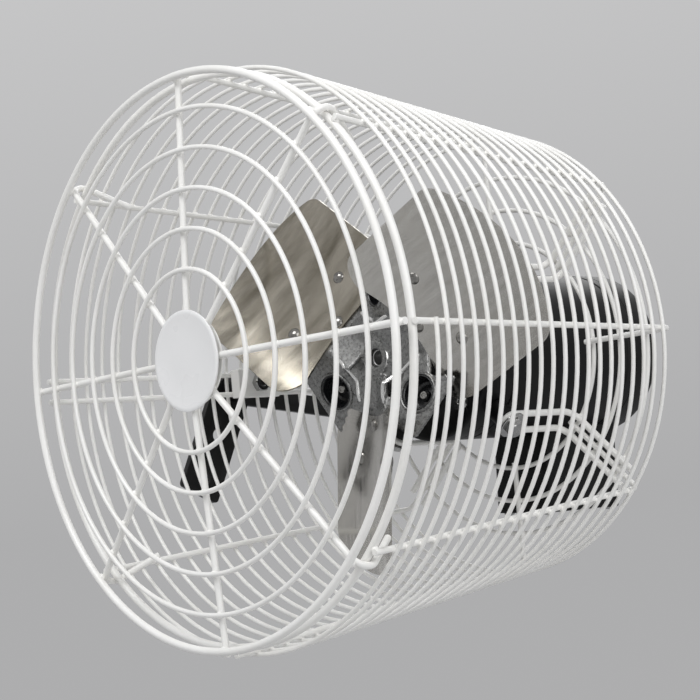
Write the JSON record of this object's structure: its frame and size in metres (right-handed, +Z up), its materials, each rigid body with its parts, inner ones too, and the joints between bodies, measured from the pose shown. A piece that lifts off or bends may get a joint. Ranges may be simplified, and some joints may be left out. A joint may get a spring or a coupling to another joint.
{
  "type": "air circulator fan",
  "caption": "Wall or post mounted air circulator fan: tapered round wire cage with a clip-on front grille, riveted blades on a hub spider, a caged motor and a flat tilting side arm.",
  "frame": {"origin": "centre of the lower fixing hole in the side arm, halfway through the plate", "axes": "+Z up, the fan blows toward -Y, +X runs from the arm's plate across to the fan's axis (to the right seen from the front)"},
  "size_m": [0.4036, 0.4089, 0.3895],
  "materials": {
    "white_wire": "satin powder coat",
    "white_cap": "plain bare badge disc",
    "black_paint": "semi-gloss black",
    "bell_cast": "cast, painted semi-gloss black",
    "black_box": "pressed box, painted black",
    "black_nylon": "matte",
    "zinc": "bright zinc",
    "steel": "ground",
    "spider_cast": "painted casting, grey speckle",
    "blade_sheet": "mill-finish sheet"
  },
  "bodies": {
    "mount": {"side_arm": "black_paint"},
    "cage": {"pivot_bolt": "zinc", "pivot_nut": "zinc", "pivot_washer": "zinc", "pivot_spacer": "black_paint", "pivot_clamp": "white_wire", "grille_outer_ring": "white_wire", "grille_inner_rings": "white_wire", "grille_spokes": "white_wire", "grille_hook_spokes": "white_wire", "grille_centre_plate": "white_wire", "grille_cap": "white_cap", "cage_front_ring": "white_wire", "cage_rods": "white_wire", "cage_mount_rods": "white_wire", "cage_rear_rings": "white_wire", "cage_winding": "white_wire", "upper_right_arm": "white_wire", "upper_left_arm": "white_wire", "lower_left_arm": "white_wire", "lower_right_arm": "white_wire", "motor_support_spacers": "black_paint", "motor_support_washers": "zinc", "motor_support_bolts": "zinc", "motor_shell": "black_paint", "motor_front_bell": "bell_cast", "motor_rear_bell": "bell_cast", "motor_front_bearing": "steel", "motor_rear_bearing": "steel", "motor_stator": "steel", "motor_through_bolts": "zinc", "terminal_box": "black_box", "terminal_box_lid": "black_box", "lid_screws": "zinc", "cable_gland": "black_nylon"},
    "rotor": {"motor_shaft": "steel", "motor_rotor": "steel", "fan_spider": "spider_cast", "right_blade": "blade_sheet", "left_blade": "blade_sheet", "lower_blade": "blade_sheet", "blade_rivets": "blade_sheet", "hub_set_screw": "steel"}
  },
  "joints": [
    {"name": "tilt", "type": "hinge", "parent": "mount", "child": "cage", "pos_m": [0, 0.03541, 0.0695], "axis": [1, 0, 0], "range_deg": [-45, 45]},
    {"name": "rotor_spin", "type": "hinge", "parent": "cage", "child": "rotor", "pos_m": [0.1945, -0.14946, 0.0695], "axis": [0, 1, 0], "continuous": true}
  ]
}
